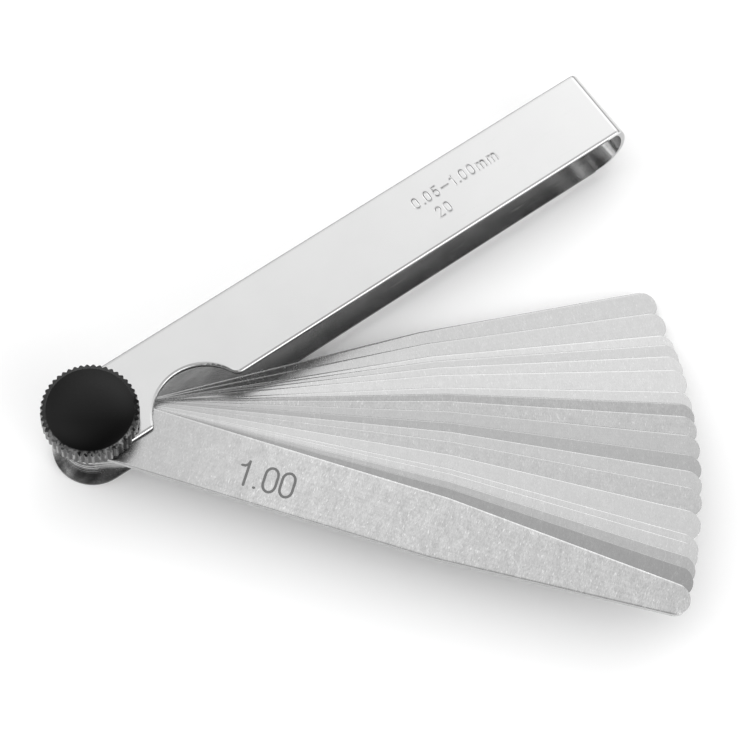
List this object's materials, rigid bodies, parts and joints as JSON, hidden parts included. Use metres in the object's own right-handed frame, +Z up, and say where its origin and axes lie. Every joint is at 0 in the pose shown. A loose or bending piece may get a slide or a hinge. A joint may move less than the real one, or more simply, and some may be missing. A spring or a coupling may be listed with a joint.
{
  "type": "feeler gauge",
  "caption": "Fan of thin steel gauge blades on one pivot in a long U-shaped plated strip holder, clamped by a black knurled thumb screw.",
  "frame": {"origin": "on the blades' pivot axis, at the flat underside of the lower leaf", "axes": "+Z up the pivot towards the thumb screw, +X along the holder from the pivot to its bend; the blades open towards -Y"},
  "size_m": [0.1094, 0.0831, 0.0168],
  "materials": {
    "plated_strip": "bright nickel plate with fine scratches",
    "blade_steel": "hardened spring steel, fine satin grain",
    "thin_blade_steel": "thin rolled spring steel strip, smoother and darker",
    "nut_steel": "turned steel",
    "black_steel": "black oxide, glossy face and knurled rim"
  },
  "bodies": {
    "holder_body": {"holder": "plated_strip", "pivot_nut": "nut_steel"},
    "blade_0_95": {"blade_0_95": "blade_steel"},
    "blade_0_90": {"blade_0_90": "blade_steel"},
    "blade_0_85": {"blade_0_85": "blade_steel"},
    "blade_0_80": {"blade_0_80": "blade_steel"},
    "blade_0_75": {"blade_0_75": "blade_steel"},
    "blade_0_70": {"blade_0_70": "blade_steel"},
    "blade_0_65": {"blade_0_65": "blade_steel"},
    "blade_0_60": {"blade_0_60": "blade_steel"},
    "blade_0_55": {"blade_0_55": "blade_steel"},
    "blade_0_50": {"blade_0_50": "blade_steel"},
    "blade_0_45": {"blade_0_45": "blade_steel"},
    "blade_0_40": {"blade_0_40": "blade_steel"},
    "blade_0_35": {"blade_0_35": "blade_steel"},
    "blade_0_30": {"blade_0_30": "blade_steel"},
    "blade_0_25": {"blade_0_25": "blade_steel"},
    "blade_0_20": {"blade_0_20": "blade_steel"},
    "blade_0_15": {"blade_0_15": "thin_blade_steel"},
    "blade_0_10": {"blade_0_10": "thin_blade_steel"},
    "blade_0_05": {"blade_0_05": "thin_blade_steel"},
    "blade_1_00": {"blade_1_00": "blade_steel"},
    "washer_body": {"clamp_washer": "nut_steel"},
    "knob_body": {"thumb_screw": "black_steel"}
  },
  "joints": [
    {"name": "blade_0_95_swing", "type": "hinge", "parent": "holder_body", "child": "blade_0_95", "pos_m": [0, 0, 0], "axis": [0, 0, 1], "range_deg": [-160.65, 19.35]},
    {"name": "blade_0_90_swing", "type": "hinge", "parent": "holder_body", "child": "blade_0_90", "pos_m": [0, 0, 0], "axis": [0, 0, 1], "range_deg": [-158.05, 21.95]},
    {"name": "blade_0_85_swing", "type": "hinge", "parent": "holder_body", "child": "blade_0_85", "pos_m": [0, 0, 0], "axis": [0, 0, 1], "range_deg": [-155.35, 24.65]},
    {"name": "blade_0_80_swing", "type": "hinge", "parent": "holder_body", "child": "blade_0_80", "pos_m": [0, 0, 0], "axis": [0, 0, 1], "range_deg": [-154.1, 25.9]},
    {"name": "blade_0_75_swing", "type": "hinge", "parent": "holder_body", "child": "blade_0_75", "pos_m": [0, 0, 0], "axis": [0, 0, 1], "range_deg": [-152.65, 27.35]},
    {"name": "blade_0_70_swing", "type": "hinge", "parent": "holder_body", "child": "blade_0_70", "pos_m": [0, 0, 0], "axis": [0, 0, 1], "range_deg": [-151, 29]},
    {"name": "blade_0_65_swing", "type": "hinge", "parent": "holder_body", "child": "blade_0_65", "pos_m": [0, 0, 0], "axis": [0, 0, 1], "range_deg": [-148.5, 31.5]},
    {"name": "blade_0_60_swing", "type": "hinge", "parent": "holder_body", "child": "blade_0_60", "pos_m": [0, 0, 0], "axis": [0, 0, 1], "range_deg": [-147.1, 32.9]},
    {"name": "blade_0_55_swing", "type": "hinge", "parent": "holder_body", "child": "blade_0_55", "pos_m": [0, 0, 0], "axis": [0, 0, 1], "range_deg": [-145.65, 34.35]},
    {"name": "blade_0_50_swing", "type": "hinge", "parent": "holder_body", "child": "blade_0_50", "pos_m": [0, 0, 0], "axis": [0, 0, 1], "range_deg": [-143.6, 36.4]},
    {"name": "blade_0_45_swing", "type": "hinge", "parent": "holder_body", "child": "blade_0_45", "pos_m": [0, 0, 0], "axis": [0, 0, 1], "range_deg": [-143.45, 36.55]},
    {"name": "blade_0_40_swing", "type": "hinge", "parent": "holder_body", "child": "blade_0_40", "pos_m": [0, 0, 0], "axis": [0, 0, 1], "range_deg": [-141.35, 38.65]},
    {"name": "blade_0_35_swing", "type": "hinge", "parent": "holder_body", "child": "blade_0_35", "pos_m": [0, 0, 0], "axis": [0, 0, 1], "range_deg": [-139.6, 40.4]},
    {"name": "blade_0_30_swing", "type": "hinge", "parent": "holder_body", "child": "blade_0_30", "pos_m": [0, 0, 0], "axis": [0, 0, 1], "range_deg": [-137.85, 42.15]},
    {"name": "blade_0_25_swing", "type": "hinge", "parent": "holder_body", "child": "blade_0_25", "pos_m": [0, 0, 0], "axis": [0, 0, 1], "range_deg": [-135.45, 44.55]},
    {"name": "blade_0_20_swing", "type": "hinge", "parent": "holder_body", "child": "blade_0_20", "pos_m": [0, 0, 0], "axis": [0, 0, 1], "range_deg": [-133, 47]},
    {"name": "blade_0_15_swing", "type": "hinge", "parent": "holder_body", "child": "blade_0_15", "pos_m": [0, 0, 0], "axis": [0, 0, 1], "range_deg": [-132.15, 47.85]},
    {"name": "blade_0_10_swing", "type": "hinge", "parent": "holder_body", "child": "blade_0_10", "pos_m": [0, 0, 0], "axis": [0, 0, 1], "range_deg": [-130.8, 49.2]},
    {"name": "blade_0_05_swing", "type": "hinge", "parent": "holder_body", "child": "blade_0_05", "pos_m": [0, 0, 0], "axis": [0, 0, 1], "range_deg": [-129.65, 50.35]},
    {"name": "blade_1_00_swing", "type": "hinge", "parent": "holder_body", "child": "blade_1_00", "pos_m": [0, 0, 0], "axis": [0, 0, 1], "range_deg": [-127.7, 52.3]},
    {"name": "screw_rise", "type": "slide", "parent": "holder_body", "child": "washer_body", "axis": [0, 0, 1], "range_m": [0, 0.00333]},
    {"name": "screw_turn", "type": "hinge", "parent": "washer_body", "child": "knob_body", "pos_m": [0, 0, 0], "axis": [0, 0, 1], "range_deg": [0, 1710]}
  ],
  "couplings": [
    {"joint": "screw_rise", "follows": "screw_turn", "m_per_rad": 0.00011141}
  ]
}
